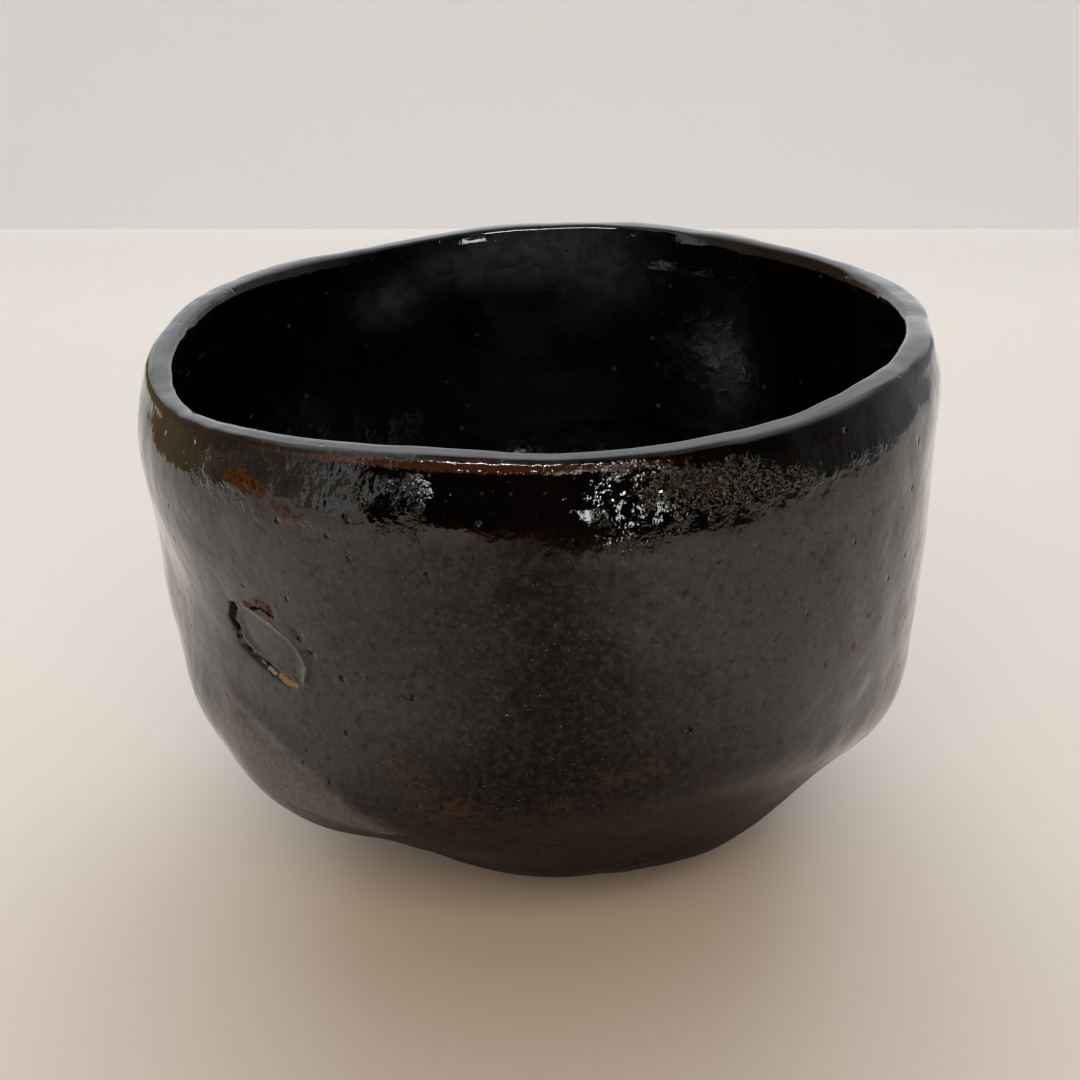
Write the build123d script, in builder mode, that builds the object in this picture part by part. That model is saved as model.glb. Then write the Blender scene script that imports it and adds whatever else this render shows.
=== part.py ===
from build123d import *
from math import atan2, cos, degrees, hypot, radians, sin
import os

# A hand-built tea bowl: one clay body with a carved foot ring, a glaze coat outside that laps over
# the lip, and a glaze coat in the well. Millimetres, +Z up, origin under the middle of the bowl on
# the surface that it stands on.

# Outside of the glazed wall: height and mean radius, from the foot up to above the lip
WALL = (
    (5.5, 31.0),
    (8.5, 38.5),
    (12.0, 44.0),
    (18.5, 48.5),
    (27.0, 54.0),
    (38.0, 59.2),
    (52.0, 60.2),
    (67.0, 60.0),
    (77.0, 59.4),
    (84.0, 56.7),
    (91.0, 52.0),
)

# Surface of the glazed well: height and mean radius, from its floor up to above the lip
WELL = (
    (11.8, 9.0),
    (12.6, 20.0),
    (15.5, 31.0),
    (20.5, 39.5),
    (27.0, 45.8),
    (38.0, 52.4),
    (52.0, 54.4),
    (67.0, 54.6),
    (77.0, 54.4),
    (84.0, 52.1),
    (91.0, 47.4),
)

# The hand-pinched plan: at each height the wall swells by a depth towards a number of evenly
# spaced headings, counted in degrees from +X towards +Y, and fades out over a reach above and below
#        height, reach, number, depth, heading
SWELLS = (
    (10.0, 18.0, 1, 2.8, 5.0),
    (27.0, 18.0, 1, 1.0, -80.0),
    (27.0, 18.0, 3, 1.3, -11.0),
    (27.0, 18.0, 4, 1.5, -37.0),
    (52.0, 28.0, 1, 1.2, 15.0),
    (52.0, 28.0, 3, 1.2, 55.0),
    (84.0, 30.0, 1, 0.7, 160.0),
    (84.0, 30.0, 4, 0.3, 45.0),
)

LIP_HEIGHT = 83.9  # mean height of the glazed lip
LIP_RADIUS = 56.7  # where the waves of the lip are measured
LIP_RISE = 2.4  # how much higher the lip is at +X than in the middle
TILT_START = 45.0  # the levels of the wall tilt with the lip from this height up
#        number of crests, height of a crest, heading of the first crest
LIP_WAVES = ((2, 0.4, -65.0), (4, 0.6, -18.0), (5, 0.25, 26.0))
LIP_OUTER_ROUND = 2.2
LIP_INNER_ROUND = 1.5

GLAZE = 0.6  # thickness of each glaze coat
GLAZE_LAP = 76.0  # the outer coat laps into the well down to this height
GLAZE_END = 1.6  # bare clay below this height on the foot
WELL_SIDE = 2.5  # clay this far behind the well's surface still counts as its side

FOOT_CENTRE = (2.0, 0.0)
FOOT_RADIUS = 27.0  # at the rest face
FOOT_TOP_RADIUS = 29.0  # where the foot runs into the wall
FOOT_TOP = 7.0
RECESS_RADIUS = 20.5
RECESS_TAPER = 1.0
RECESS_DEPTH = 4.6
RECESS_RISE = 0.6  # the roof of the recess rises this much more to its middle
FOOT_ROUND = 0.9

RING_POINTS = 24
CUTTER_SPAN = 75.0
CUTTER_POINTS = 13
CUTTER_HEIGHT = 30.0


def swell(height, heading):
    """How far the wall stands out from its mean radius."""
    total = 0
    for centre, reach, number, depth, first in SWELLS:
        strength = max(0, 1 - abs(height - centre) / reach)
        total += strength * depth * cos(number * radians(heading - first))
    return total


def level_plane(height):
    """The plane of one level, which tilts towards the high side of the lip near the top."""
    share = max(0, (height - TILT_START) / (LIP_HEIGHT - TILT_START))
    slope = share * LIP_RISE / LIP_RADIUS
    return Plane(origin=(0, 0, height), x_dir=(1, 0, slope), z_dir=(-slope, 0, 1))


def ring_points(height, radius):
    points = []
    for step in range(RING_POINTS):
        heading = 360 * step / RING_POINTS
        reach = radius + swell(height, heading)
        points.append((reach * cos(radians(heading)), reach * sin(radians(heading))))
    return points


def lofted(levels, growth):
    """A solid through rings at the given levels, each ring wider by growth."""
    with BuildPart() as solid:
        for height, radius in levels:
            with BuildSketch(level_plane(height)):
                with BuildLine():
                    Spline(*ring_points(height, radius + growth), periodic=True)
                make_face()
        loft()
    return solid.part


def lip_height(x, y):
    """Height of the glazed lip, as a smooth surface that waves round the rim."""
    reach = hypot(x, y) / LIP_RADIUS
    heading = degrees(atan2(y, x))
    height = LIP_HEIGHT + LIP_RISE * x / LIP_RADIUS
    for number, crest, first in LIP_WAVES:
        height += crest * reach**number * cos(number * radians(heading - first))
    return height


def above_lip(drop):
    """Everything above the lip, starting lower than the glazed lip by drop."""
    steps = [CUTTER_SPAN * (2 * i / (CUTTER_POINTS - 1) - 1) for i in range(CUTTER_POINTS)]
    rows = [[Vector(x, y, lip_height(x, y) - drop) for x in steps] for y in steps]
    surface = Face.make_surface_from_array_of_points(rows)
    with BuildPart() as cutter:
        extrude(surface, amount=CUTTER_HEIGHT, dir=(0, 0, 1))
    return cutter.part


def bowl_form(inset):
    """The hollow wall and floor, with all of its surfaces moved into the clay by inset."""
    outside = lofted(WALL, -inset).moved(Location((0, 0, inset)))
    well = lofted(WELL, inset).moved(Location((0, 0, -inset)))
    cutter = above_lip(inset)
    with BuildPart() as form:
        add(outside)
        add(well, mode=Mode.SUBTRACT)
        add(cutter, mode=Mode.SUBTRACT)
        lip = form.faces().sort_by(Axis.Z)[-1]
        inner_edge, outer_edge = lip.edges().sort_by(SortBy.LENGTH)
        fillet(outer_edge, LIP_OUTER_ROUND - inset)
        fillet(inner_edge, LIP_INNER_ROUND - inset)
    return form.part


def foot_form():
    """The foot ring with its recess, turned about the foot's own axis."""
    axis_plane = Plane(origin=(*FOOT_CENTRE, 0), x_dir=(1, 0, 0), z_dir=(0, -1, 0))
    with BuildPart() as foot:
        with BuildSketch(axis_plane):
            with BuildLine():
                Polyline(
                    (0, RECESS_DEPTH + RECESS_RISE),
                    (0, FOOT_TOP),
                    (FOOT_TOP_RADIUS, FOOT_TOP),
                    (FOOT_RADIUS, 0),
                    (RECESS_RADIUS, 0),
                    (RECESS_RADIUS - RECESS_TAPER, RECESS_DEPTH),
                    close=True,
                )
            make_face()
        revolve(axis=Axis((*FOOT_CENTRE, 0), (0, 0, 1)))
        rest_face = foot.faces().sort_by(Axis.Z)[0]
        fillet(rest_face.edges(), FOOT_ROUND)
    return foot.part


def foot_coat():
    """The glazed side of the foot, as a solid cone that is wider than the clay by the glaze."""
    slope = (FOOT_TOP_RADIUS - FOOT_RADIUS) / FOOT_TOP
    end_radius = FOOT_RADIUS + slope * GLAZE_END + GLAZE
    with BuildPart() as coat:
        with BuildSketch(Plane((*FOOT_CENTRE, GLAZE_END))):
            Circle(end_radius)
        with BuildSketch(Plane((*FOOT_CENTRE, FOOT_TOP))):
            Circle(FOOT_TOP_RADIUS + GLAZE)
        loft()
        with BuildSketch(Plane((*FOOT_CENTRE, GLAZE_END))):
            Circle(FOOT_RADIUS - GLAZE)
        extrude(amount=RECESS_DEPTH - GLAZE_END + RECESS_RISE, mode=Mode.SUBTRACT)
    return coat.part


# The pieces that are worked out first, so that no sub-part is built inside another

clay_wall = bowl_form(GLAZE)
clay_foot = foot_form()
glazed_wall = bowl_form(0)
glazed_foot = foot_coat()
well_side = lofted(WELL, WELL_SIDE).moved(Location((0, 0, -WELL_SIDE)))

# Clay body: wall, floor and foot ring in one

with BuildPart() as clay_body:
    add(clay_wall)
    add(clay_foot)

# Both glaze coats together, still joined at the lap inside the lip

with BuildPart() as coats:
    add(glazed_wall)
    add(glazed_foot)
    add(clay_body.part, mode=Mode.SUBTRACT)

# The part of the coats that lines the well, up to the lap

with BuildPart() as well_region:
    add(well_side)
    split(bisect_by=Plane.XY.offset(GLAZE_LAP), keep=Keep.BOTTOM)

with BuildPart() as inner_glaze:
    add(coats.part)
    add(well_region.part, mode=Mode.INTERSECT)

with BuildPart() as outer_glaze:
    add(coats.part)
    add(well_region.part, mode=Mode.SUBTRACT)

clay_body.part.label = "clay_body"
inner_glaze.part.label = "inner_glaze"
outer_glaze.part.label = "outer_glaze"

os.makedirs("parts", exist_ok=True)
export_step(clay_body.part, "parts/clay_body.step")
export_step(inner_glaze.part, "parts/inner_glaze.step")
export_step(outer_glaze.part, "parts/outer_glaze.step")
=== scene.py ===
import bpy
import numpy as np
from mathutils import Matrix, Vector


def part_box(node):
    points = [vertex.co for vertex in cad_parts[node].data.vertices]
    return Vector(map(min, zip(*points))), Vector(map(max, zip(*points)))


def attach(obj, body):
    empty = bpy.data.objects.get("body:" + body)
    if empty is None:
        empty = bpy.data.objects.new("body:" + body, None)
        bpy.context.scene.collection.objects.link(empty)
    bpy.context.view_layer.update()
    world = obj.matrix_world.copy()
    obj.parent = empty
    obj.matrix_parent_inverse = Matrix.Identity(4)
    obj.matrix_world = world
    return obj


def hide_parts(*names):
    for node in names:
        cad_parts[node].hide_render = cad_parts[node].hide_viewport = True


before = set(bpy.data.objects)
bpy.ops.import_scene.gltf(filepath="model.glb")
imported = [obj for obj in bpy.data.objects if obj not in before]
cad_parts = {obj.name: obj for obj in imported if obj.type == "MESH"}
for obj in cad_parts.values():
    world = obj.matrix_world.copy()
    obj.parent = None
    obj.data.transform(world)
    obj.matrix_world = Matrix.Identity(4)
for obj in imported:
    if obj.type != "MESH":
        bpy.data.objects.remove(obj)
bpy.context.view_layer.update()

# A hand-pinched tea bowl under a black glaze. The lists below give its form in the bowl's own
# millimetres, and MM, taken from the frame, turns them into metres. Headings are in degrees,
# anticlockwise from above, with 270 at the front.

coat_low, coat_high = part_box("outer_glaze")
DESIGN_WIDTH = 120.6
MM = (coat_high.x - coat_low.x) / DESIGN_WIDTH
FOOT_CENTRE = 2.0
WALL_RADIUS = 59.0
# Points of the outside further out than this are on its wall, not on the lap inside the lip
WALL_START = 55.0
GLAZE = 0.6
# Room left between the clay and the glaze's back
GLAZE_GAP = 0.02

# Outside of the glaze, from its end on the foot to the lap inside the lip: radius, height
OUTSIDE = (
    (27.7, 1.6), (28.2, 3.2), (28.7, 4.4), (29.7, 5.2), (31.3, 5.7), (34.5, 6.8),
    (38.5, 8.5), (44.0, 12.0), (48.5, 18.5), (54.0, 27.0), (59.2, 38.0), (60.3, 46.0),
    (60.2, 54.0), (60.1, 62.0), (60.0, 69.0), (59.9, 75.0), (59.4, 78.4), (58.8, 81.0),
    (58.55, 82.1), (58.35, 82.8), (58.05, 83.35), (57.5, 83.7), (56.4, 83.84), (55.0, 83.87),
    (54.3, 83.8), (53.75, 83.4), (53.4, 82.6), (53.2, 81.2), (53.5, 79.0), (54.1, 76.0),
)
# The glazed well, from the lap to its middle: radius, height
WELL = (
    (54.1, 76.0), (54.5, 72.0), (54.6, 67.0), (54.4, 52.0), (52.4, 38.0), (45.8, 27.0),
    (39.5, 20.5), (31.0, 15.5), (20.0, 12.6), (9.0, 11.8), (0.8, 11.7),
)
# Bare clay, from the middle of the recess to under the glaze's end on the foot: radius, height
FOOT = (
    (0.8, 5.2), (10.0, 4.9), (17.6, 4.6), (19.2, 4.1), (19.9, 2.4), (20.4, 0.7),
    (21.2, 0.1), (23.0, 0.0), (25.4, 0.0), (26.4, 0.2), (27.0, 0.9), (27.1, 1.5),
)

# The pinched plan: middle height, reach above and below, number of lobes, depth, first heading
SWELLS = (
    (10.0, 18.0, 1, 2.8, 5.0),
    (27.0, 18.0, 1, 1.0, -80.0),
    (27.0, 18.0, 3, 1.3, -11.0),
    (27.0, 18.0, 4, 1.5, -37.0),
    (52.0, 28.0, 1, 1.2, 15.0),
    (52.0, 28.0, 3, 1.2, 55.0),
    (84.0, 30.0, 1, 0.7, 160.0),
    (84.0, 30.0, 4, 0.3, 45.0),
)
LIP_HEIGHT = 83.9
# Where the flat top of the lip is narrower: heading, half width, depth
LIP_THINNED = (275.0, 55.0, 1.6)
LIP_START = 45.0
# Waves of the lip: number of crests, height of a crest, first heading
LIP_WAVES = ((1, 2.4, 0.0), (2, 0.4, -65.0), (4, 0.6, -18.0), (5, 0.25, 26.0))

# Marks of the hand and the spatula: heading, height, half width, half height, push outwards
PRESSED = (
    (214.0, 32.0, 14.0, 9.0, 1.1),
    (236.0, 24.0, 9.0, 8.0, 0.8),
    (218.0, 31.0, 7.0, 6.0, -0.4),
    (249.0, 23.0, 5.0, 5.0, -0.5),
    (250.0, 15.0, 12.0, 7.0, -0.8),
    (302.0, 13.0, 9.0, 6.0, 0.5),
    (318.0, 26.0, 13.0, 9.0, -0.9),
    (328.0, 36.0, 11.0, 8.0, 0.6),
    (338.0, 70.0, 9.0, 11.0, -0.7),
    (212.0, 84.0, 20.0, 9.0, -1.2),
    (200.0, 58.0, 14.0, 12.0, -0.25),
    (176.0, 83.0, 18.0, 9.0, -0.9),
    (348.0, 85.0, 8.0, 6.0, -0.7),
    (34.0, 84.0, 16.0, 8.0, -1.4),
    (135.0, 84.0, 30.0, 8.0, -0.9),
    (215.0, 66.0, 10.0, 8.0, 0.6),
    (326.0, 30.0, 6.0, 5.0, 0.5),
)
# Edges that the spatula left on the left hip: line of headings and heights, half width, push
TRIMMED = (
    (((223.5, 43.0), (233.0, 40.0), (239.0, 37.2), (244.0, 34.0), (249.0, 29.0), (253.5, 23.0)),
     2.6, 0.25),
    (((234.0, 30.5), (239.0, 27.0), (243.0, 23.0), (246.0, 18.0)), 4.5, -0.5),
)

# Scar of the tongs that lifted the bowl from the kiln. Its lines run in millimetres to the
# right and up from its middle, followed by half width and push outwards.
MARK_HEADING = 233.8
MARK_HEIGHT = 55.3
MARK_DISH = (6.2, 3.9, -28.0, -0.28)
MARK_LINES = (
    (((-3.6, 4.4), (-2.5, 4.1), (0.7, 3.3), (4.1, 1.6), (5.7, -0.3), (6.5, -1.8), (5.9, -3.9)),
     0.42, 0.26),
    (((-6.4, -0.2), (-6.1, -2.5), (-3.9, -3.4), (-2.0, -4.0), (0.7, -4.8), (3.0, -5.2)),
     0.55, -0.42),
    (((-6.3, 3.4), (-7.4, 1.1), (-6.6, -0.4)), 0.6, -0.45),
    (((-3.0, 4.9), (1.4, 5.3)), 0.7, -0.16),
    (((5.2, 3.4), (5.8, 3.0)), 0.5, -0.3),
    (((7.0, 0.7), (7.4, 0.5)), 0.4, -0.3),
)

# Stains in the glaze, and places where sheen and reflections are painted into its colour: heading,
# height, half width, half height, strength
STAINS = {
    "rust": (
        (252.3, 44.1, 2.2, 2.6, 0.8), (255.0, 40.5, 2.5, 3.0, 0.6), (257.3, 37.0, 6.0, 4.2, 1.0),
        (261.0, 30.0, 3.5, 6.0, 0.6), (265.0, 21.4, 9.0, 2.8, 0.9), (272.5, 37.4, 3.0, 2.8, 0.9),
        (279.0, 43.7, 4.0, 2.4, 0.9), (283.0, 45.0, 2.4, 1.6, 0.7), (240.0, 35.5, 6.0, 3.0, 0.45),
        (285.0, 24.0, 6.0, 3.0, 0.45), (318.0, 22.0, 7.0, 3.0, 0.4), (100.0, 30.0, 9.0, 6.0, 0.8),
        (20.0, 44.0, 7.0, 5.0, 0.8), (160.0, 24.0, 10.0, 4.0, 0.8), (128.0, 58.0, 4.0, 3.0, 0.8),
    ),
    "orange": (
        (230.5, 79.4, 2.0, 1.0, 0.9), (233.8, 79.0, 2.4, 1.4, 0.95), (237.0, 78.2, 1.8, 1.1, 0.9),
        (239.6, 76.6, 2.0, 1.3, 1.1), (242.5, 75.8, 1.6, 0.8, 0.7), (305.5, 53.4, 0.9, 0.9, 0.8),
        (310.8, 53.2, 0.8, 1.4, 0.7), (313.3, 57.0, 1.6, 0.7, 0.7), (70.0, 77.0, 6.0, 1.4, 0.9),
    ),
    # Painted reflection: these greenish-brown patches in the band under the lip stand in for the room
    # that the glaze mirrors
    "olive": (
        (241.0, 75.4, 4.0, 1.1, 0.9), (248.0, 75.2, 5.0, 1.2, 0.9), (281.0, 80.0, 5.0, 2.4, 0.5),
        (289.0, 80.5, 6.0, 2.6, 0.8), (300.0, 78.6, 7.0, 1.6, 0.6), (50.0, 78.0, 12.0, 2.0, 0.8),
        (140.0, 77.0, 12.0, 2.0, 0.8), (202.0, 79.0, 5.0, 4.5, 1.0), (212.0, 79.5, 8.0, 4.0, 1.1),
        (222.0, 80.0, 6.0, 3.0, 0.9), (232.0, 80.0, 6.0, 2.4, 0.6),
    ),
    # Painted reflection on raised threads: their pale greenish colour stands in for window bars and
    # plants mirrored in the glaze
    "worm_relief_and_reflection": (
        (284.0, 80.3, 5.0, 2.2, 0.9), (292.0, 80.0, 6.0, 2.6, 1.1), (300.0, 78.8, 6.0, 1.6, 0.8),
        (250.0, 79.5, 3.0, 2.0, 0.6), (55.0, 79.0, 14.0, 3.0, 1.0), (150.0, 79.0, 14.0, 3.0, 0.9),
    ),
    "grainy": ((264.0, 50.0, 21.0, 24.0, 1.0), (85.0, 50.0, 25.0, 25.0, 0.8)),
    # Painted sheen: a lighter purplish brown on the hips, where they would mirror the floor
    "violet": (
        (223.0, 37.5, 5.0, 5.0, 0.8), (230.5, 34.5, 6.0, 5.0, 1.0), (238.0, 31.0, 7.0, 6.5, 1.1),
        (244.0, 27.5, 7.0, 6.0, 1.2), (249.5, 23.5, 6.0, 5.0, 1.1), (330.0, 28.0, 8.0, 4.0, 0.5),
    ),
    "red": (
        (305.0, 53.4, 1.5, 1.3, 0.9), (310.8, 53.6, 1.3, 2.2, 0.8), (313.3, 57.0, 2.2, 1.2, 0.8),
        (309.5, 47.0, 1.6, 3.0, 0.6), (245.0, 56.5, 4.5, 3.0, 0.5), (239.0, 58.6, 1.0, 1.0, 0.8),
        (262.0, 76.5, 17.0, 1.6, 0.6), (303.0, 80.5, 8.0, 1.6, 0.5),
    ),
    "crawled": (
        (228.0, 79.0, 8.0, 3.5, 0.6), (238.0, 79.0, 8.0, 4.0, 0.8), (248.0, 78.5, 7.0, 4.5, 1.0),
        (256.0, 79.0, 4.0, 4.5, 0.4), (280.5, 79.0, 5.0, 5.0, 1.0), (289.0, 79.5, 8.0, 3.4, 0.5),
        (298.0, 78.0, 9.0, 2.4, 0.6), (312.0, 78.0, 9.0, 1.6, 0.5), (40.0, 78.0, 30.0, 4.0, 0.8),
        (140.0, 78.0, 25.0, 4.0, 0.8),
    ),
}
# Strokes of colour beside the scar, painted highlights and painted shade among them, in the scar's own
# millimetres: points, half width, strength
MARK_STROKES = {
    "rust": (
        (((5.1, 3.4), (5.9, 2.9)), 0.8, 1.0), (((2.6, -4.2), (4.4, -4.6)), 0.5, 0.8),
        (((-1.5, 4.4), (2.4, 3.6)), 0.8, 0.9),
    ),
    "orange": (
        (((-3.0, 5.0), (-0.6, 5.9), (1.2, 5.3)), 1.1, 1.0), (((-6.8, 3.9), (-5.6, 4.3)), 0.5, 1.1),
    ),
    "bare": ((((1.2, -5.0), (2.2, -5.4), (3.2, -5.5), (4.2, -5.2)), 0.55, 1.2),),
    # Painted highlights: a whitish line on the scar's raised rim and glints along its groove
    "pale": (
        (((-3.4, 4.2), (0.7, 3.3), (4.1, 1.6), (5.7, -0.3), (6.5, -1.8), (5.9, -3.9)), 0.22, 0.6),
        (((-2.2, -3.9), (-1.9, -4.1)), 0.3, 1.2), (((-0.9, -4.6), (0.3, -4.9)), 0.3, 1.2),
    ),
    # Painted shade: near black in the scar's crevice, grooves and pits, where they also mirror less
    "dark": (
        (((-6.2, 3.2), (-7.3, 1.2), (-6.8, 0.2)), 0.95, 1.5),
        (((-5.6, -2.2), (-4.6, -3.0)), 0.7, 1.0), (((7.0, 0.8), (7.3, 0.5)), 0.45, 0.9),
        (((-2.6, 4.4), (-0.6, 5.0), (1.8, 4.5)), 0.4, 0.8), (((5.4, 2.6), (5.9, 2.1)), 0.35, 0.9),
        (((-3.4, -3.3), (0.6, -4.5)), 0.6, 0.8),
    ),
}
# Milky bloom in the well, in the same terms as the stains
BLOOM = (
    (88.0, 79.0, 16.0, 5.0, 1.1), (104.0, 78.0, 12.0, 4.0, 0.8), (76.0, 74.0, 8.0, 6.0, 0.5),
    (122.0, 73.0, 7.0, 4.0, 0.9), (50.0, 60.0, 6.0, 12.0, 0.4), (235.0, 66.0, 12.0, 8.0, 0.3),
    (300.0, 70.0, 14.0, 6.0, 0.4),
)
# Thin amber line under the lip: height, half height, heading, half width
AMBER = (82.95, 0.68, 262.0, 26.0)
# Painted shares that change with height alone: where one starts, and where it is whole
SHARES = {"dull": (30, 14), "wall": (77.5, 73), "lip": (81.8, 83.2)}

FRONT_HEADING = 262.0
SHARP_EDGE = np.radians(55)
OUTER_COLUMNS = 450
WELL_COLUMNS = 400
CLAY_COLUMNS = 300


def wave_field(seed, wavelength, count=24):
    """Directions and phases of a soft random field made of many plane waves."""
    draw = np.random.default_rng(seed)
    direction = draw.normal(size=(count, 3))
    direction /= np.linalg.norm(direction, axis=1)[:, None]
    length = wavelength * draw.uniform(0.7, 1.5, count)
    return direction * (2 * np.pi / length)[:, None], draw.uniform(0, 2 * np.pi, count)


def field_value(field, points):
    """A soft random field at the given points."""
    waves, phases = field
    return np.sin(points @ waves.T + phases).mean(-1) * np.sqrt(len(phases))


def smooth_path(points, step=0.05):
    """Closely spaced points along a smooth curve through the given ones."""
    points = np.array(points, float)
    run = np.concatenate([[0], np.cumsum(np.linalg.norm(np.diff(points, axis=0), axis=1))])
    tangent = np.gradient(points, run, axis=0)
    at = np.arange(0, run[-1], step)
    k = np.clip(np.searchsorted(run, at, side="right") - 1, 0, len(run) - 2)
    width = (run[k + 1] - run[k])[:, None]
    t = ((at - run[k]) / width[:, 0])[:, None]
    a, b = points[k], points[k + 1]
    curve = (
        (2 * t**3 - 3 * t**2 + 1) * a
        + (t**3 - 2 * t**2 + t) * width * tangent[k]
        + (3 * t**2 - 2 * t**3) * b
        + (t**3 - t**2) * width * tangent[k + 1]
    )
    return np.vstack([curve, points[-1]])


def spaced(path, spacing):
    """Points picked along a path so that neighbours are about spacing apart."""
    step = np.linalg.norm(np.diff(path, axis=0), axis=1)
    share = np.concatenate([[0], np.cumsum(step / spacing[:-1])])
    at = np.linspace(0, share[-1], int(round(share[-1])) + 1)
    return np.stack([np.interp(at, share, path[:, k]) for k in range(path.shape[1])], -1)


def bell(x):
    return np.exp(-x * x)


def ramp(x, start, end):
    t = np.clip((x - start) / (end - start), 0, 1)
    return t * t * (3 - 2 * t)


def wall_spacing(path):
    """Distance between rows, in millimetres: finest at the lip and across the tong mark."""
    height = path[:, 1]
    outside = path[:, 0] > WALL_START
    mark = bell((height - MARK_HEIGHT) / 8.0) * outside
    lip = bell((height - LIP_HEIGHT) / 4.5)
    return 1.0 / (1 + 3.4 * mark + 2.4 * lip)


def column_headings(count):
    """Headings of the columns, closest together across the tong mark and then at the front."""
    fine = np.radians(np.arange(0, 360.05, 0.05))
    away = np.degrees(np.abs((fine - np.radians(MARK_HEADING) + np.pi) % (2 * np.pi) - np.pi))
    weight = 1 + 0.35 * np.cos(fine - np.radians(FRONT_HEADING)) + 2.2 * bell(away / 9.0)
    share = np.concatenate([[0], np.cumsum(weight[:-1])])
    return np.interp(np.arange(count) / count, share / share[-1], fine)


def swell(height, heading):
    """How far the pinched plan stands out from a circle."""
    total = 0
    for middle, reach, number, depth, first in SWELLS:
        strength = ramp(reach - np.abs(height - middle), 0, reach)
        total = total + strength * depth * np.cos(number * (heading - np.radians(first)))
    return total


def lip_offset(heading):
    """How far the waves of the lip lift it."""
    return sum(crest * np.cos(n * (heading - np.radians(a))) for n, crest, a in LIP_WAVES)


def thinned(radius, height, heading):
    """How much the top of the lip gives up of its width."""
    middle, half_width, depth = LIP_THINNED
    turn = (heading - np.radians(middle) + np.pi) % (2 * np.pi) - np.pi
    return depth * bell(turn / np.radians(half_width)) * ramp(height, 78, 83) * ramp(radius, 53.4, 58.2)


def turned(rows, headings):
    """The grid of points that rows of radius and height make when turned round the bowl."""
    radius, height = rows[:, 0][:, None], rows[:, 1][:, None]
    heading = headings[None, :]
    in_wall = ramp(height, 4.5, 8.0)
    reach = radius + in_wall * swell(height, heading) * np.clip(radius / 30, 0, 1)
    reach = reach - thinned(radius, height, heading)
    lift = np.clip((height - LIP_START) / (LIP_HEIGHT - LIP_START), 0, None)
    x = reach * np.cos(heading) + (1 - in_wall) * FOOT_CENTRE
    y = reach * np.sin(heading)
    z = height + lift * lip_offset(heading)
    return np.stack([x, y, z], -1)


def grid_normals(grid):
    """Unit normals of a grid whose rows run round the bowl, pointing out of the glaze."""
    along = np.roll(grid, -1, axis=1) - np.roll(grid, 1, axis=1)
    up = np.gradient(grid, axis=0)
    normal = np.cross(along, up)
    return normal / np.maximum(np.linalg.norm(normal, axis=-1), 1e-9)[..., None]


def round_wall(headings, centre):
    """Distance round the wall from a heading in degrees, in millimetres."""
    turn = (headings - np.radians(centre) + np.pi) % (2 * np.pi) - np.pi
    return turn * WALL_RADIUS


def off_line(across, up, points):
    """Distance from each place on the wall to a line of points on it."""
    nearest = np.full(np.broadcast(across, up).shape, 1e9)
    for (ax, ay), (bx, by) in zip(points[:-1], points[1:]):
        length = (bx - ax) ** 2 + (by - ay) ** 2
        t = np.clip(((across - ax) * (bx - ax) + (up - ay) * (by - ay)) / length, 0, 1)
        nearest = np.minimum(nearest, np.hypot(across - ax - t * (bx - ax), up - ay - t * (by - ay)))
    return nearest


LUMPS = wave_field(11, 26.0)
PRESSES = wave_field(12, 9.0)
RIPPLES = wave_field(13, 4.2)


def patches(places, headings, height):
    """The sum of soft round patches on the wall."""
    total = 0
    for heading, middle, half_width, half_height, strength in places:
        across = round_wall(headings[None, :], heading) / half_width
        total = total + strength * bell(np.hypot(across, (height - middle) / half_height))
    return total


def wall_line(line, headings, height, half_width):
    """A soft line along the wall through the given headings and heights."""
    points = [(np.radians(heading - FRONT_HEADING) * WALL_RADIUS, up) for heading, up in line]
    off = off_line(round_wall(headings[None, :], FRONT_HEADING), height, points)
    return bell(off / half_width)


def hand_marks(headings, height):
    """How far the hand and the spatula pushed each point of the outside out of the wall."""
    push = patches(PRESSED, headings, height)
    for line, half_width, depth in TRIMMED:
        push = push + depth * wall_line(line, headings, height, half_width)
    return push


def tong_mark(headings, height):
    """The scar's dish, raised rim and grooves."""
    across = round_wall(headings[None, :], MARK_HEADING)
    up = height - MARK_HEIGHT
    half_width, half_height, turn, depth = MARK_DISH
    cos, sin = np.cos(np.radians(turn)), np.sin(np.radians(turn))
    dish = np.hypot((across * cos + up * sin) / half_width, (up * cos - across * sin) / half_height)
    push = depth * ramp(-dish, -1.15, -0.8)
    for points, half_width, depth in MARK_LINES:
        push = push + depth * bell(off_line(across, up, points) / half_width)
    return push


def stain(name, headings, height):
    """How strongly a stain colours each point of the outside."""
    total = patches(STAINS.get(name, ()), headings, height)
    across = round_wall(headings[None, :], MARK_HEADING)
    for points, half_width, strength in MARK_STROKES.get(name, ()):
        off = off_line(across, height - MARK_HEIGHT, points)
        total = np.maximum(total, strength * bell(off / half_width))
    return total


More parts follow.
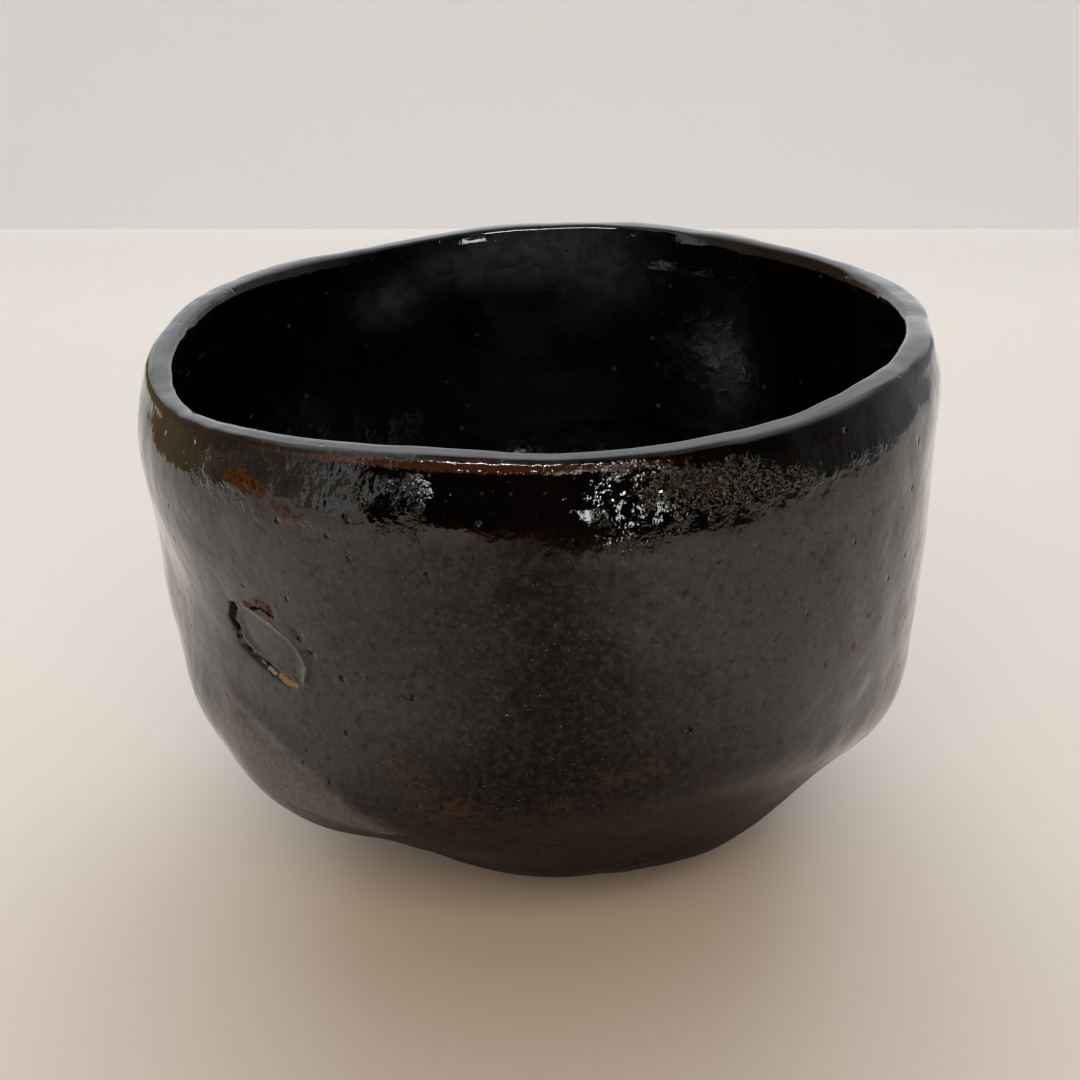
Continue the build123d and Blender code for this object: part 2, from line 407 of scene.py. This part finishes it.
def add_mesh(name, rings, close_first=None, close_last=None, loop=False):
    """One closed mesh from a stack of rings, with a centre point at either open end."""
    count = rings.shape[1]
    vertices = rings.reshape(-1, 3)
    row = np.arange(len(rings) if loop else len(rings) - 1)[:, None] * count
    column = np.arange(count)[None, :]
    following = (column + 1) % count
    above = (row + count) % len(vertices)
    quads = np.stack(
        [row + column, row + following, above + following, above + column], -1
    ).reshape(-1, 4)
    faces = quads.tolist()
    points = (vertices * MM).tolist()
    last = (len(rings) - 1) * count
    for centre, ring, first in ((close_first, 0, True), (close_last, last, False)):
        if centre is None:
            continue
        for k in range(count):
            pair = [ring + k, ring + (k + 1) % count]
            faces.append([len(points), *(reversed(pair) if first else pair)])
        points.append((np.array(centre) * MM).tolist())
    mesh = bpy.data.meshes.new(name)
    mesh.from_pydata(points, [], faces)
    mesh.shade_smooth()
    mesh.validate()
    mesh.set_sharp_from_angle(angle=SHARP_EDGE)
    piece = bpy.data.objects.new(name, mesh)
    bpy.context.scene.collection.objects.link(piece)
    return piece


def paint(piece, name, values):
    """A number for each point of a piece's first rings, and nought for the others."""
    numbers = np.zeros(len(piece.data.vertices))
    numbers[: values.size] = values.ravel()
    piece.data.attributes.new(name, "FLOAT", "POINT").data.foreach_set("value", numbers)


def clay_lumps(grid):
    """Soft unevenness of the clay, in millimetres."""
    return 0.16 * field_value(LUMPS, grid) + 0.05 * field_value(PRESSES, grid)


def outside_form(rows, headings):
    """The outside and the lip as the hand left them, before the glaze's own unevenness."""
    radius, height = rows[:, 0][:, None], rows[:, 1][:, None]
    # The marks fade out across the top of the lip, so the lap inside it stays plain
    upper = ramp(height, 44, 48)
    marks = hand_marks(headings, height) * (1 - upper * (1 - ramp(radius, 54.5, 57.5)))
    grid = turned(rows, headings)
    normals = grid_normals(grid)
    outwards = np.stack([np.cos(headings), np.sin(headings), np.zeros(len(headings))], -1)[None]
    at_lip = ramp(height, 76, 81)[..., None]
    pushed = normals * (1 - at_lip) + outwards * at_lip
    return grid + pushed * marks[..., None] + normals * clay_lumps(grid)[..., None]


def well_form(rows, headings):
    grid = turned(rows, headings)
    return grid + grid_normals(grid) * clay_lumps(grid)[..., None]


def build_outer_coat(headings):
    """The outer glaze, with its stains and its painted sheen, highlights, reflections and shade as
    numbers on its points.
    """
    path = smooth_path(OUTSIDE)
    rows = spaced(path, wall_spacing(path))
    height = rows[:, 1][:, None]
    form = outside_form(rows, headings)
    normals = grid_normals(form)
    on_wall = rows[:, 0][:, None] > WALL_START
    detail = on_wall * tong_mark(headings, height) + 0.022 * field_value(RIPPLES, form)
    face = form + normals * detail[..., None]
    lip_rows = np.where(height[:, 0] > 79)[0][::3]
    keep = np.unique(np.concatenate([np.arange(0, len(rows), 9), lip_rows, [len(rows) - 1]]))
    back = (form - normals * GLAZE)[keep][::-1]
    piece = add_mesh("outer_coat", np.concatenate([face, back]), loop=True)
    for name in (*STAINS, "bare", "pale", "dark"):
        paint(piece, name, stain(name, headings, height) * on_wall)
    level, half_height, heading, half_width = AMBER
    span = bell(round_wall(headings[None, :], heading) / half_width)
    amber = bell((height - level) / half_height) * (0.2 + 0.8 * span)
    paint(piece, "amber", amber * on_wall)
    paint(piece, "bloom", patches(BLOOM, headings, height) * (1 - on_wall))
    for name, (start, whole) in SHARES.items():
        share = ramp((height - start) / (whole - start), 0, 1) * np.ones(len(headings))
        paint(piece, name, share)
    # A painted highlight: a paler line in the colour along the spatula's ridge on the left hip
    painted_ridge_highlight = TRIMMED[0][0]
    paint(piece, "painted_ridge_highlight", wall_line(painted_ridge_highlight, headings, height, 0.8) * on_wall)
    return piece


def build_well_coat(headings):
    """The glaze of the well, with its milky bloom."""
    path = smooth_path(WELL)
    rows = spaced(path, np.full(len(path), 1.2))
    face = well_form(rows, headings)
    back = (face - grid_normals(face) * GLAZE)[::4][::-1]
    middle = [0, 0, WELL[-1][1]]
    under = [0, 0, WELL[-1][1] - GLAZE]
    piece = add_mesh("well_coat", np.concatenate([back, face]), under, middle)
    bloom = patches(BLOOM, headings, rows[:, 1][:, None])
    paint(piece, "bloom", np.concatenate([np.zeros(back.shape[:2]), bloom]))
    return piece


def build_clay(headings):
    """The clay between the coats, bare at the foot."""
    foot_path = smooth_path(FOOT)
    foot = turned(spaced(foot_path, np.full(len(foot_path), 0.5)), headings)
    outside = smooth_path(OUTSIDE)
    outside = outside_form(spaced(outside, np.full(len(outside), 1.6)), headings)
    well = smooth_path(WELL)
    well = well_form(spaced(well, np.full(len(well), 2.0)), headings)
    under = [grid - grid_normals(grid) * (GLAZE + GLAZE_GAP) for grid in (outside, well)]
    rings = np.concatenate([foot, under[0], under[1][1:]])
    rings[..., 2] = np.maximum(rings[..., 2], 0)
    middle = [0, 0, WELL[-1][1] - GLAZE - GLAZE_GAP]
    return add_mesh("clay_core", rings, [FOOT_CENTRE, 0, FOOT[0][1]], middle)


outer_coat = build_outer_coat(column_headings(OUTER_COLUMNS))
well_coat = build_well_coat(np.radians(np.arange(WELL_COLUMNS) * (360 / WELL_COLUMNS)))
clay_core = build_clay(np.radians(np.arange(CLAY_COLUMNS) * (360 / CLAY_COLUMNS)))


class Nodes:
    """A short way to write the nodes of a material or a world, with textures in millimetres."""

    def __init__(self, owner, coordinates="Object"):
        owner.use_nodes = True
        self.owner = owner
        self.tree = owner.node_tree
        self.shader = self.tree.nodes.get("Principled BSDF")
        self.place = self.add("ShaderNodeTexCoord").outputs[coordinates]

    def add(self, kind, inputs=(), **settings):
        node = self.tree.nodes.new(kind)
        for key, value in settings.items():
            setattr(node, key, value)
        for socket, value in dict(inputs).items():
            self.set(node.inputs[socket], value)
        return node

    def set(self, socket, value):
        if isinstance(value, bpy.types.NodeSocket):
            self.tree.links.new(value, socket)
        else:
            socket.default_value = value

    def math(self, operation, a, b=0.0, c=0.0):
        node = self.add("ShaderNodeMath", {0: a, 1: b, 2: c}, operation=operation)
        return node.outputs[0]

    def times(self, a, b):
        return self.math("MULTIPLY", a, b)

    def total(self, *parts):
        """Sum of pairs of a value and its weight."""
        result = 0.0
        for value, weight in parts:
            result = self.math("MULTIPLY_ADD", value, weight, result)
        return result

    def step(self, value, start, end, low=0.0, high=1.0):
        """Low below start, high above end, and smooth between."""
        inputs = {"Value": value, "From Min": start, "From Max": end, "To Min": low, "To Max": high}
        node = self.add("ShaderNodeMapRange", inputs, interpolation_type="SMOOTHSTEP")
        return node.outputs["Result"]

    def noise(self, size, detail=2.0, roughness=0.5, distortion=0.0):
        inputs = {
            "Vector": self.place, "Scale": 1000.0 / size, "Detail": detail,
            "Roughness": roughness, "Distortion": distortion,
        }
        return self.add("ShaderNodeTexNoise", inputs).outputs["Fac"]

    def cells(self, size):
        """Distance from the nearest of many scattered points, and that point's random number."""
        node = self.add("ShaderNodeTexVoronoi", {"Vector": self.place, "Scale": 1000.0 / size})
        number = self.add("ShaderNodeSeparateColor", {0: node.outputs["Color"]}).outputs[0]
        return node.outputs["Distance"], number

    def threads(self, size, width):
        """Thin winding lines where a noise passes its middle value."""
        from_middle = self.math("SUBTRACT", self.noise(size, 2.0, 0.55, 0.6), 0.5)
        return self.step(self.math("ABSOLUTE", from_middle), 0.0, width, 1.0, 0.0)

    def painted(self, name):
        return self.add("ShaderNodeAttribute", attribute_name=name).outputs["Fac"]

    def mix(self, factor, a, b):
        node = self.add("ShaderNodeMix", data_type="RGBA")
        for socket, value in ((0, factor), (6, a), (7, b)):
            if isinstance(value, tuple):
                value = (*value, 1.0)
            self.set(node.inputs[socket], value)
        return node.outputs[2]

    def layers(self, base, *coats):
        """A base colour under pairs of a cover, 0 to 1, and its colour."""
        for cover, colour in coats:
            base = self.mix(cover, base, colour)
        return base

    def finish(self, colour, roughness, height):
        """Set the shader's colour and roughness, and a bump from a height in millimetres."""
        self.set(self.shader.inputs["Base Color"], colour)
        self.set(self.shader.inputs["Roughness"], roughness)
        bump = self.add("ShaderNodeBump", {"Height": height, "Distance": MM, "Strength": 1.0})
        self.set(self.shader.inputs["Normal"], bump.outputs[0])
        return self.owner


def pinholes(n, size, radius):
    """Small round pits where bubbles broke through the glaze, 1 at their middles."""
    distance, chance = n.cells(size)
    width = n.step(chance, 0.2, 1.0, 0.05 * radius / size, 1.5 * radius / size)
    return n.step(n.math("DIVIDE", distance, width), 0.2, 1.0, 1.0, 0.0)


# Painted stains of the glaze, with its painted sheen, highlights, reflections and shade: strength where
# one starts and is whole, and its edge's raggedness
EDGES = {
    "crawled": (0.30, 0.75, 0.8),
    "rust": (0.30, 1.10, 1.2),
    "orange": (0.45, 0.85, 1.6),
    "olive": (0.40, 0.90, 1.3),
    "red": (0.40, 1.00, 1.3),
    "amber": (0.35, 0.75, 0.6),
    "violet": (0.25, 1.10, 0.8),
    "worm_relief_and_reflection": (0.40, 0.80, 0.9),
    "bare": (0.60, 0.80, 0.35),
    "pale": (0.50, 0.80, 0.8),
    "dark": (0.40, 0.80, 0.4),
}
BLOOM_COLOUR = (0.060, 0.085, 0.115)


class GlazeParts:
    """What the colour, shine and relief of the outer glaze share: its noises, stains and pits."""

    def __init__(self, n):
        self.wall = n.painted("wall")
        self.patchy = n.noise(3.2, 4.0, 0.6)
        self.mottle = n.noise(1.3, 3.0, 0.7)
        self.grain = n.noise(0.6, 2.0, 0.6)
        self.fine = n.noise(0.34, 1.0)
        noises = n.total((self.mottle, 1.1), (self.patchy, 1.1), (self.grain, 0.5))
        ragged = n.math("SUBTRACT", noises, 1.35)
        for name, (start, whole, wander) in EDGES.items():
            strength = n.total((n.painted(name), 1.0), (ragged, wander))
            setattr(self, name, n.step(strength, start, whole))
        self.worm_relief_and_reflection = n.times(self.worm_relief_and_reflection, n.threads(0.75, 0.035))
        self.holes = pinholes(n, 3.0, 0.38)
        distance, number = n.cells(0.85)
        chosen = n.times(n.step(number, 0.4, 1.0), n.step(n.painted("grainy"), 0.0, 0.8, 0.1, 1.0))
        self.specks = n.times(n.step(distance, 0.05, 0.17, 1.0, 0.0), chosen)


def milky(n, patchy):
    """The bloom, thicker in some places than in others."""
    return n.times(n.painted("bloom"), n.step(patchy, 0.3, 0.7, 0.32, 0.8))


def glaze_colour(n, part):
    """Near black, under flecks, specks, stains, pits, and sheen, highlights, reflections and shade
    painted into the colour.
    """
    black = n.mix(n.step(n.noise(14.0, 3.0), 0.35, 0.65), (0.001, 0.001, 0.001), (0.0026, 0.0017, 0.0013))
    flecks = n.cells(2.1)[0]
    speckle = n.step(n.noise(0.9, 5.0, 0.75), 0.40, 0.74)
    return n.layers(
        black,
        # Painted sheen on the hips
        (part.violet, (0.095, 0.083, 0.075)),
        # Painted highlight along the spatula's ridge
        (n.times(n.painted("painted_ridge_highlight"), n.step(part.patchy, 0.35, 0.6, 0.4, 1.0)), (0.110, 0.102, 0.096)),
        (n.times(part.wall, speckle), (0.030, 0.028, 0.024)),
        (n.step(flecks, 0.0, 0.15, 0.5, 0.0), (0.080, 0.075, 0.055)),
        (part.specks, (0.150, 0.145, 0.125)),
        (n.times(part.rust, n.step(part.mottle, 0.36, 0.6, 0.15, 0.8)), (0.050, 0.026, 0.014)),
        (n.times(part.red, 0.6), (0.040, 0.008, 0.005)),
        # Painted reflection of the room in the band under the lip
        (n.times(part.olive, n.step(part.fine, 0.3, 0.7, 0.3, 0.9)), (0.032, 0.025, 0.014)),
        (n.times(part.orange, n.step(part.grain, 0.38, 0.62, 0.35, 1.0)), (0.070, 0.027, 0.005)),
        (n.times(part.amber, 0.9), (0.050, 0.022, 0.009)),
        # Painted reflection on the raised threads
        (n.times(part.worm_relief_and_reflection, 0.8), (0.060, 0.055, 0.030)),
        # Painted highlights in the scar
        (n.times(part.pale, 0.8), (0.30, 0.28, 0.24)),
        (milky(n, part.patchy), BLOOM_COLOUR),
        (part.bare, (0.24, 0.165, 0.08)),
        # Painted shade in the scar's crevice, grooves and pits
        (n.times(part.dark, 0.9), (0.002, 0.0015, 0.001)),
        (part.holes, (0.0012, 0.001, 0.001)),
    )


def glaze_shine(n, part):
    """Less mirroring in pits, stains and the painted shade of the scar's crevices, and nowhere more than
    plain glass.
    """
    spots = n.times(part.wall, n.step(n.noise(1.1, 3.0, 0.65), 0.54, 0.66))
    shine = n.total(
        (spots, -0.20), (part.holes, -0.25), (part.dark, -0.45), (part.bare, -0.3),
        (part.orange, -0.4), (part.rust, -0.2),
    )
    return n.math("MAXIMUM", n.math("ADD", shine, 0.5), 0.0)


def glaze_roughness(n, part):
    roughness = n.total(
        (n.times(part.patchy, part.wall), 0.16), (part.specks, 0.12), (part.rust, 0.16),
        (part.bare, 0.6), (n.painted("dull"), 0.15),
    )
    return n.math("ADD", roughness, 0.035)


def glaze_relief(n, part):
    """Height in millimetres of pits, crawled patches and the glaze's general unevenness."""
    crawling = n.math("SUBTRACT", n.noise(2.4, 1.0, 0.4), 0.5)
    height = n.total(
        (n.noise(1.5, 1.0, 0.4), 0.05),
        (n.noise(3.2, 1.0, 0.4), 0.10),
        (part.grain, 0.014),
        (part.fine, 0.005),
        (part.holes, -0.25),
        (part.worm_relief_and_reflection, 0.05),
        (n.times(part.crawled, crawling), 0.32),
        (n.times(part.crawled, n.noise(0.9, 1.0)), 0.10),
        (n.times(part.crawled, part.grain), 0.02),
        (n.times(part.amber, n.noise(0.8)), 0.22),
        (part.rust, 0.03),
        (part.bare, -0.10),
    )
    return n.times(height, n.step(n.painted("lip"), 0.0, 1.0, 1.0, 0.35))


def black_glaze():
    """Black tea-bowl glaze: glassy but finely pitted, with rust and crawled patches, and with sheen,
    highlights, shade and greenish-brown reflections painted into its colour.
    """
    n = Nodes(bpy.data.materials.new("black_glaze"))
    part = GlazeParts(n)
    n.shader.inputs["IOR"].default_value = 1.50
    n.set(n.shader.inputs["Specular IOR Level"], glaze_shine(n, part))
    return n.finish(glaze_colour(n, part), glaze_roughness(n, part), glaze_relief(n, part))


def well_glaze():
    """The same glaze in the well, smoother, with a few blisters."""
    n = Nodes(bpy.data.materials.new("well_glaze"))
    patchy = n.noise(3.0, 3.0)
    distance = n.cells(6.0)[0]
    blisters = n.step(distance, 0.0, 0.12, 1.0, 0.0)
    colour = n.layers(
        n.mix(n.step(n.noise(16.0, 3.0), 0.4, 0.7), (0.0006, 0.0007, 0.0011), (0.0018, 0.0022, 0.0032)),
        (milky(n, patchy), BLOOM_COLOUR),
        (n.times(blisters, 0.8), (0.110, 0.080, 0.055)),
    )
    n.shader.inputs["IOR"].default_value = 1.47
    height = n.total((n.noise(1.6, 2.0), 0.05), (patchy, 0.10), (blisters, 0.12))
    return n.finish(colour, n.step(patchy, 0.3, 0.7, 0.10, 0.24), height)


def bare_clay():
    """Buff, sandy clay of the foot, smudged by the hand and the kiln."""
    n = Nodes(bpy.data.materials.new("bare_clay"))
    sand = n.noise(0.6, 3.0, 0.7)
    grit = pinholes(n, 1.5, 0.35)
    colour = n.layers(
        n.mix(n.step(n.noise(9.0, 4.0, 0.6), 0.35, 0.7), (0.40, 0.27, 0.16), (0.22, 0.13, 0.075)),
        (n.step(sand, 0.45, 0.75), (0.50, 0.37, 0.24)),
        (n.times(grit, 0.8), (0.06, 0.035, 0.02)),
    )
    height = n.total((sand, 0.12), (n.noise(2.5, 2.0), 0.10), (grit, 0.15))
    return n.finish(colour, n.step(sand, 0.3, 0.7, 0.75, 0.95), height)


for piece, node, slot, finish in (
    (outer_coat, "outer_glaze", "outer_glaze", black_glaze()),
    (well_coat, "inner_glaze", "inner_glaze", well_glaze()),
    (clay_core, "clay_body", "clay", bare_clay()),
):
    piece.data.materials.append(finish)
    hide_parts(node)
    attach(piece, "root")


# The studio: a pale table and a pale backdrop, in metres
BACKDROP_PLACE = 0.42
BACKDROP_TOP = 0.15
STUDIO_SIDE = 3.0
TABLE_SIDE = 0.5
TABLE_EDGE = -0.42
BACKDROP_GLOW = 0.29
TABLE_COLOUR = (0.705, 0.69, 0.665)
# How the glaze mirrors the table: brighter at its sides, and dimmer in front of the bowl and
# under it, as if someone stood over it
MIRRORED_COLOUR = (0.80, 0.785, 0.76)
SHADED_COLOUR = (0.19, 0.165, 0.147)
SHADED_SIDE = 0.12
UNDER_COLOUR = (0.16, 0.15, 0.13)
UNDER_RADIUS = (0.045, 0.064)
BACKDROP_COLOUR = (0.76, 0.79, 0.82)


def matt(name, colour, glow=0.0):
    """The nodes of a matt paper-like material."""
    n = Nodes(bpy.data.materials.new(name))
    n.shader.inputs["Base Color"].default_value = (*colour, 1)
    n.shader.inputs["Roughness"].default_value = 0.9
    n.shader.inputs["Specular IOR Level"].default_value = 0.2
    n.shader.inputs["Emission Color"].default_value = (*colour, 1)
    n.shader.inputs["Emission Strength"].default_value = glow
    return n


def studio_sheet(name, corners, n):
    """A flat sheet with the given corners and material."""
    mesh = bpy.data.meshes.new(name)
    mesh.from_pydata(corners, [], [tuple(range(len(corners)))])
    mesh.materials.append(n.owner)
    sheet = bpy.data.objects.new(name, mesh)
    bpy.context.scene.collection.objects.link(sheet)
    return sheet


def floor_sheet(name, n, left, right, front, back):
    corners = [(left, front, 0), (right, front, 0), (right, back, 0), (left, back, 0)]
    return studio_sheet(name, corners, n)


def shade_mirrored(n):
    """Change the table's brightness, but only where the glaze mirrors it."""
    place = n.add("ShaderNodeSeparateXYZ", {0: n.place})
    across = n.step(n.math("ABSOLUTE", place.outputs["X"]), 0.0, SHADED_SIDE, 1.0, 0.0)
    in_front = n.step(place.outputs["Y"], SHADED_SIDE / -2, 0.0, 1.0, 0.0)
    away = n.add("ShaderNodeVectorMath", {0: n.place}, operation="LENGTH").outputs["Value"]
    under = n.step(away, *UNDER_RADIUS, 1.0, 0.0)
    shaded = n.mix(n.times(across, in_front), MIRRORED_COLOUR, SHADED_COLOUR)
    mirrored = n.add("ShaderNodeLightPath").outputs["Is Glossy Ray"]
    colour = n.mix(mirrored, TABLE_COLOUR, n.mix(under, shaded, UNDER_COLOUR))
    n.set(n.shader.inputs["Base Color"], colour)


def studio_surfaces():
    """The table near the bowl, the part that the bowl doesn't mirror, and a lit backdrop."""
    side, edge, far, out = TABLE_SIDE, TABLE_EDGE, BACKDROP_PLACE, STUDIO_SIDE
    near_table = matt("near_table", TABLE_COLOUR)
    shade_mirrored(near_table)
    floor_sheet("table", near_table, -side, side, edge, far)
    outer_table = matt("outer_table", TABLE_COLOUR)
    for name, *sides in (
        ("table_front", -out, out, -out, edge),
        ("table_left", -out, -side, edge, far),
        ("table_right", side, out, edge, far),
    ):
        floor_sheet(name, outer_table, *sides).visible_glossy = False
    corners = [(-out, far, 0), (out, far, 0), (out, far, BACKDROP_TOP), (-out, far, BACKDROP_TOP)]
    backdrop = studio_sheet("backdrop", corners, matt("backdrop", BACKDROP_COLOUR, BACKDROP_GLOW))
    backdrop.visible_shadow = False
    backdrop.visible_glossy = False


def area_light(name, place, target, size, power, colour=(1, 1, 1), mirrored=False):
    """A soft panel that either lights matt surfaces or only shows as a reflection."""
    light = bpy.data.lights.new(name, "AREA")
    light.shape = "RECTANGLE"
    light.size, light.size_y = size
    light.energy = power
    light.color = colour
    lamp = bpy.data.objects.new(name, light)
    lamp.location = place
    lamp.rotation_euler = (Vector(target) - Vector(place)).to_track_quat("-Z", "Y").to_euler()
    lamp.visible_camera = False
    lamp.visible_diffuse = not mirrored
    lamp.visible_glossy = mirrored
    bpy.context.scene.collection.objects.link(lamp)


# What the bowl mirrors round it at its own height: degrees to the right of the front, and colour
ROOM = (
    (-180, (0.50, 0.50, 0.50)), (-156, (0.80, 0.78, 0.75)), (-150, (0.50, 0.26, 0.12)),
    (-143, (0.42, 0.23, 0.11)), (-137, (0.23, 0.17, 0.09)), (-90, (0.24, 0.18, 0.12)),
    (-66, (0.44, 0.38, 0.33)), (-59, (1.25, 1.24, 1.20)), (-51, (1.10, 1.10, 1.08)),
    (-46, (0.010, 0.008, 0.008)), (62, (0.012, 0.010, 0.010)), (84, (0.20, 0.20, 0.20)),
    (100, (0.34, 0.34, 0.34)), (125, (0.42, 0.43, 0.45)), (150, (0.50, 0.50, 0.50)),
    (180, (0.50, 0.50, 0.50)),
)


def studio_world():
    """Bright behind and above the bowl, dark in front of it, and a dim room at its sides."""
    world = bpy.data.worlds.new("studio")
    bpy.context.scene.world = world
    n = Nodes(world, "Generated")
    right, back, up = n.add("ShaderNodeSeparateXYZ", {0: n.place}).outputs
    bearing = n.math("ARCTAN2", right, n.times(back, -1.0))
    bearing = n.math("MULTIPLY_ADD", bearing, 0.5 / np.pi, 0.5)
    room = n.add("ShaderNodeValToRGB", {"Fac": bearing})
    stops = room.color_ramp.elements
    while len(stops) < len(ROOM):
        stops.new(1.0)
    for stop, (heading, colour) in zip(stops, ROOM):
        stop.position = heading / 360 + 0.5
        stop.color = (*colour, 1)
    towards_key = n.math("MULTIPLY_ADD", back, 0.8, n.times(up, 0.6))
    sky = n.mix(n.step(towards_key, -0.2, 0.9), (0.17, 0.155, 0.14), (1.22, 1.24, 1.27))
    ceiling = n.times(n.step(up, 0.42, 0.62), n.step(back, 0.2, 0.5))
    sky = n.mix(ceiling, sky, (2.0, 2.03, 2.08))
    sky = n.mix(n.step(up, 0.88, 0.98), sky, (0.30, 0.295, 0.29))
    # The room is in sight low down behind the bowl, beside it and in front of it
    beside = n.times(n.step(up, 0.55, 0.85, 1.0, 0.0), n.step(back, 0.55, 0.80, 1.0, 0.0))
    level = n.times(n.step(up, 0.10, 0.22, 1.0, 0.0), n.step(back, 0.80, 0.90, 1.0, 0.0))
    in_front = n.step(back, -0.40, 0.0, 1.0, 0.0)
    in_room = n.math("MAXIMUM", n.math("MAXIMUM", beside, level), in_front)
    light = n.mix(in_room, sky, room.outputs["Color"])
    light = n.mix(n.step(up, -0.35, -0.12, 1.0, 0.0), light, (0.02, 0.014, 0.012))
    camera_ray = n.add("ShaderNodeLightPath").outputs["Is Camera Ray"]
    light = n.mix(camera_ray, light, (0.72, 0.72, 0.71))
    n.set(n.tree.nodes["Background"].inputs["Color"], light)


studio_surfaces()
studio_world()
area_light("key", (0.0, 0.80, 0.58), (0, 0.05, 0.0), (1.2, 0.4), 4.65, (0.95, 0.985, 0.985))
area_light("fill", (0.0, -0.55, 0.62), (0, -0.05, 0.0), (0.8, 0.4), 3.1, (1.0, 0.69, 0.44))
area_light("window", (0.198, -0.62, 0.240), (0, -0.06, 0.08), (0.06, 0.28), 0.65, mirrored=True)
area_light("strip", (-0.05, -0.38, 0.58), (0, -0.06, 0.08), (0.30, 0.045), 2.0, mirrored=True)

# Metres, degrees below level, and millimetres
CAMERA_PLACE = (0, -0.1724, 0.1357)
CAMERA_DIP = 27.8
CAMERA_LENS = 39.0
camera = bpy.data.objects.new("camera", bpy.data.cameras.new("camera"))
camera.data.sensor_width = 36.0
camera.data.lens = CAMERA_LENS
camera.location = CAMERA_PLACE
camera.rotation_euler = (np.radians(90 - CAMERA_DIP), 0, 0)
camera.data.clip_start = 0.01
bpy.context.scene.collection.objects.link(camera)
bpy.context.scene.camera = camera
bpy.context.scene.view_settings.view_transform = "Standard"
